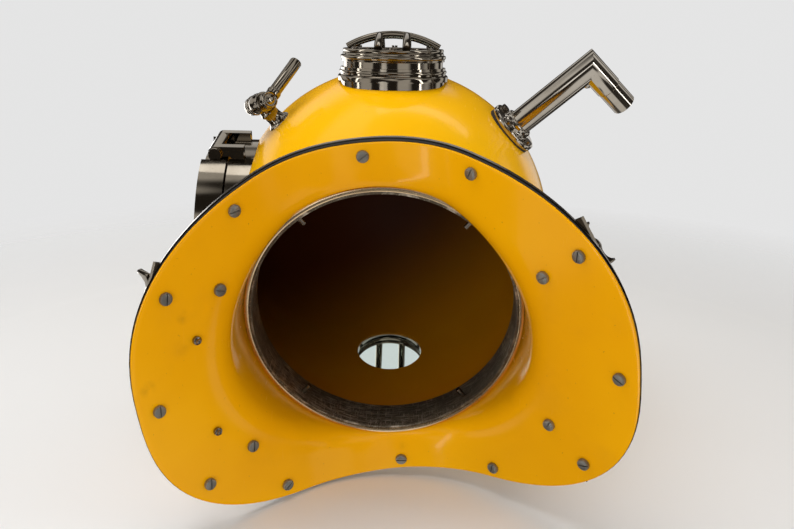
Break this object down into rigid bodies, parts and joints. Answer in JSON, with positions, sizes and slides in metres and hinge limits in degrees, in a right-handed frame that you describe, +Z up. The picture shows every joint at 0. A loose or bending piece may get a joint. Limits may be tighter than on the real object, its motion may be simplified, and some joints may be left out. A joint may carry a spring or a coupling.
{
  "type": "diving helmet",
  "caption": "Deep-sea diving helmet: egg-shaped bonnet with hinged faceplate, guarded side windows, spitcock and air elbow, on a bolted corselet.",
  "frame": {"origin": "on the floor under the middle of the whole helmet's width and depth; the corselet's chest and back edges stand on z 0", "axes": "+Z up along the neck axis towards the crown, +X towards the wearer's left, -Y towards the faceplate"},
  "size_m": [0.3912, 0.4071, 0.479],
  "materials": {
    "bonnet_enamel": "gloss yellow enamel",
    "corselet_enamel": "gloss yellow enamel, lightly marked",
    "nickel": "polished dark nickel",
    "worn_metal": "bare, dark and scratched",
    "bronze": "tarnished bronze",
    "screw_steel": "brushed, slotted heads",
    "glass": "clear",
    "leather": "dark, greased",
    "rubber": "dull black"
  },
  "bodies": {
    "helmet": {"bonnet_shell": "bonnet_enamel", "bonnet_neck_ring": "worn_metal", "neck_gasket": "leather", "corselet_neck_ring": "bronze", "neck_ring_screws": "screw_steel", "corselet_shell": "corselet_enamel", "rim_gasket": "rubber", "strap_chest": "nickel", "strap_back": "nickel", "strap_left": "nickel", "strap_right": "nickel", "strap_joint_plates": "nickel", "rim_screws": "screw_steel", "rim_nuts": "nickel", "joint_wing_nuts": "nickel", "eyelet_lugs": "nickel", "eyelet_screws": "screw_steel", "chest_studs": "screw_steel", "window_seat_left": "nickel", "window_gasket_left": "rubber", "window_glass_left": "glass", "window_retainer_left": "nickel", "window_guard_left": "nickel", "window_screws_left": "screw_steel", "window_seat_right": "nickel", "window_gasket_right": "rubber", "window_glass_right": "glass", "window_retainer_right": "nickel", "window_guard_right": "nickel", "window_screws_right": "screw_steel", "faceplate_seat": "nickel", "faceplate_gasket": "leather", "hinge_pin": "nickel", "swing_bolt_pin": "nickel", "spitcock_body": "nickel", "elbow_gasket": "rubber", "elbow_flange": "nickel", "elbow_tube": "nickel", "elbow_screws": "screw_steel"},
    "faceplate": {"faceplate_ring": "nickel", "faceplate_glass": "glass", "faceplate_bezel": "nickel", "bezel_screws": "screw_steel"},
    "swing_bolt": {"swing_bolt": "nickel"},
    "washer": {"latch_washer": "nickel"},
    "wing_nut": {"latch_wing_nut": "nickel"},
    "spitcock_handle": {"spitcock_plug": "nickel", "spitcock_lever": "nickel", "spitcock_nut": "nickel"}
  },
  "joints": [
    {"name": "faceplate_hinge", "type": "hinge", "parent": "helmet", "child": "faceplate", "pos_m": [0.09, -0.18917, 0.299], "axis": [0, 0, 1], "range_deg": [0, 105]},
    {"name": "swing_bolt_pivot", "type": "hinge", "parent": "helmet", "child": "swing_bolt", "pos_m": [-0.102, -0.16917, 0.303], "axis": [0, 0, 1], "range_deg": [0, 100]},
    {"name": "washer_slide", "type": "slide", "parent": "swing_bolt", "child": "washer", "axis": [0.9848, -0.1736, 0], "range_m": [0, 0.008]},
    {"name": "wing_nut_spin", "type": "hinge", "parent": "washer", "child": "wing_nut", "pos_m": [-0.16109, -0.15875, 0.303], "axis": [0.9848, -0.1736, 0], "range_deg": [0, 1440]},
    {"name": "spitcock_lever_turn", "type": "hinge", "parent": "helmet", "child": "spitcock_handle", "pos_m": [0.13326, -0.14793, 0.29539], "axis": [0.4103, 0.5843, -0.7002], "range_deg": [0, 90]}
  ],
  "couplings": [
    {"joint": "wing_nut_spin", "follows": "washer_slide", "rad_per_m": 3141.6}
  ]
}
